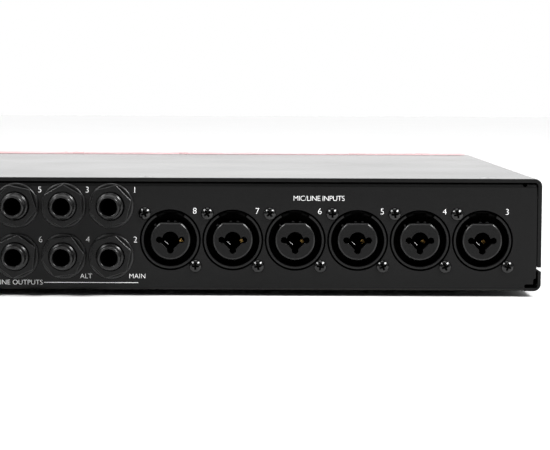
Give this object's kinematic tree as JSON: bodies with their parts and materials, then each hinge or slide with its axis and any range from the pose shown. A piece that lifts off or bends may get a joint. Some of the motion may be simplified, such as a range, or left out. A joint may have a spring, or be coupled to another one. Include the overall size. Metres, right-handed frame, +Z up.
{
  "type": "audio interface",
  "caption": "Rack-height audio interface: folded black steel case, red front panel with knobs and meter, rear combination inputs, jack outputs, digital sockets and mains inlet.",
  "frame": {"origin": "middle of the bounding box in X and Y, at the level the feet stand on", "axes": "+X to the right seen from the front, +Y out of the rear wall, +Z up"},
  "size_m": [0.44, 0.274, 0.0473],
  "materials": {
    "case_paint": "satin",
    "panel_red": "satin",
    "window_smoke": "gloss",
    "foot_rubber": "matte",
    "board_green": "satin",
    "socket_black": "satin",
    "nut_black": "gloss",
    "control_grey": "satin",
    "component_grey": "matte",
    "plated_metal": "satin",
    "screw_zinc": "satin",
    "contact_gold": "polished",
    "legend_white": "matte",
    "lens_clear": "gloss"
  },
  "bodies": {
    "chassis": {"base_tray": "case_paint", "top_cover": "case_paint", "front_panel": "panel_red", "meter_window": "window_smoke", "foot_front_left": "foot_rubber", "foot_front_right": "foot_rubber", "foot_rear_left": "foot_rubber", "foot_rear_right": "foot_rubber", "main_board": "board_green", "front_board": "board_green", "power_supply_board": "board_green", "power_transformer": "component_grey", "mic_input_1": "socket_black", "mic_input_2": "socket_black", "mic_input_3": "socket_black", "mic_input_4": "socket_black", "mic_input_5": "socket_black", "mic_input_6": "socket_black", "mic_input_7": "socket_black", "mic_input_8": "socket_black", "line_jack_pair_1_2": "socket_black", "line_jack_pair_3_4": "socket_black", "line_jack_pair_5_6": "socket_black", "line_jack_pair_7_8": "socket_black", "line_jack_pair_9_10": "socket_black", "midi_socket_pair": "socket_black", "optical_pair": "socket_black", "mains_inlet": "socket_black", "phones_jack_pair": "socket_black", "line_nut_1": "nut_black", "line_nut_2": "nut_black", "line_nut_3": "nut_black", "line_nut_4": "nut_black", "line_nut_5": "nut_black", "line_nut_6": "nut_black", "line_nut_7": "nut_black", "line_nut_8": "nut_black", "line_nut_9": "nut_black", "line_nut_10": "nut_black", "coax_pair": "plated_metal", "word_clock_socket": "plated_metal", "usb_socket": "plated_metal"},
    "gain_knob_1": {"gain_knob_1": "control_grey"},
    "gain_knob_2": {"gain_knob_2": "control_grey"},
    "gain_knob_3": {"gain_knob_3": "control_grey"},
    "gain_knob_4": {"gain_knob_4": "control_grey"},
    "gain_knob_5": {"gain_knob_5": "control_grey"},
    "gain_knob_6": {"gain_knob_6": "control_grey"},
    "gain_knob_7": {"gain_knob_7": "control_grey"},
    "gain_knob_8": {"gain_knob_8": "control_grey"},
    "monitor_knob": {"monitor_knob": "control_grey"},
    "phones_knob_1": {"phones_knob_1": "control_grey"},
    "phones_knob_2": {"phones_knob_2": "control_grey"},
    "phantom_button_1": {"phantom_button_1": "control_grey"},
    "phantom_button_2": {"phantom_button_2": "control_grey"},
    "dim_button": {"dim_button": "control_grey"},
    "mute_button": {"mute_button": "control_grey"},
    "power_rocker": {"power_rocker": "control_grey"},
    "optical_shutter_1": {"optical_shutter_1": "control_grey"},
    "optical_shutter_2": {"optical_shutter_2": "control_grey"}
  },
  "joints": [
    {"name": "gain_knob_1_turn", "type": "hinge", "parent": "chassis", "child": "gain_knob_1", "pos_m": [-0.112, -0.123, 0.0249], "axis": [0, 1, 0], "range_deg": [-140, 140]},
    {"name": "gain_knob_2_turn", "type": "hinge", "parent": "chassis", "child": "gain_knob_2", "pos_m": [-0.093, -0.123, 0.0249], "axis": [0, 1, 0], "range_deg": [-140, 140]},
    {"name": "gain_knob_3_turn", "type": "hinge", "parent": "chassis", "child": "gain_knob_3", "pos_m": [-0.074, -0.123, 0.0249], "axis": [0, 1, 0], "range_deg": [-140, 140]},
    {"name": "gain_knob_4_turn", "type": "hinge", "parent": "chassis", "child": "gain_knob_4", "pos_m": [-0.055, -0.123, 0.0249], "axis": [0, 1, 0], "range_deg": [-140, 140]},
    {"name": "gain_knob_5_turn", "type": "hinge", "parent": "chassis", "child": "gain_knob_5", "pos_m": [-0.036, -0.123, 0.0249], "axis": [0, 1, 0], "range_deg": [-140, 140]},
    {"name": "gain_knob_6_turn", "type": "hinge", "parent": "chassis", "child": "gain_knob_6", "pos_m": [-0.017, -0.123, 0.0249], "axis": [0, 1, 0], "range_deg": [-140, 140]},
    {"name": "gain_knob_7_turn", "type": "hinge", "parent": "chassis", "child": "gain_knob_7", "pos_m": [0.002, -0.123, 0.0249], "axis": [0, 1, 0], "range_deg": [-140, 140]},
    {"name": "gain_knob_8_turn", "type": "hinge", "parent": "chassis", "child": "gain_knob_8", "pos_m": [0.021, -0.123, 0.0249], "axis": [0, 1, 0], "range_deg": [-140, 140]},
    {"name": "monitor_knob_turn", "type": "hinge", "parent": "chassis", "child": "monitor_knob", "pos_m": [0.121, -0.123, 0.0249], "axis": [0, 1, 0], "range_deg": [-140, 140]},
    {"name": "phones_knob_1_turn", "type": "hinge", "parent": "chassis", "child": "phones_knob_1", "pos_m": [0.16, -0.123, 0.0324], "axis": [0, 1, 0], "range_deg": [-140, 140]},
    {"name": "phones_knob_2_turn", "type": "hinge", "parent": "chassis", "child": "phones_knob_2", "pos_m": [0.182, -0.123, 0.0324], "axis": [0, 1, 0], "range_deg": [-140, 140]},
    {"name": "phantom_button_1_press", "type": "slide", "parent": "chassis", "child": "phantom_button_1", "axis": [0, 1, 0], "range_m": [0, 0.001], "stiffness_N_per_m": 300, "springref_m": -0.002},
    {"name": "phantom_button_2_press", "type": "slide", "parent": "chassis", "child": "phantom_button_2", "axis": [0, 1, 0], "range_m": [0, 0.001], "stiffness_N_per_m": 300, "springref_m": -0.002},
    {"name": "dim_button_press", "type": "slide", "parent": "chassis", "child": "dim_button", "axis": [0, 1, 0], "range_m": [0, 0.001], "stiffness_N_per_m": 300, "springref_m": -0.002},
    {"name": "mute_button_press", "type": "slide", "parent": "chassis", "child": "mute_button", "axis": [0, 1, 0], "range_m": [0, 0.001], "stiffness_N_per_m": 300, "springref_m": -0.002},
    {"name": "power_rocker_tilt", "type": "hinge", "parent": "chassis", "child": "power_rocker", "pos_m": [0.205, -0.119, 0.0249], "axis": [-1, 0, 0], "range_deg": [0, 20]},
    {"name": "optical_shutter_1_swing", "type": "hinge", "parent": "chassis", "child": "optical_shutter_1", "pos_m": [0.111, 0.12315, 0.037], "axis": [-1, 0, 0], "range_deg": [0, 80], "stiffness_Nm_per_rad": 0.0002, "springref_deg": -28.65},
    {"name": "optical_shutter_2_swing", "type": "hinge", "parent": "chassis", "child": "optical_shutter_2", "pos_m": [0.111, 0.12315, 0.02], "axis": [-1, 0, 0], "range_deg": [0, 80], "stiffness_Nm_per_rad": 0.0002, "springref_deg": -28.65}
  ]
}
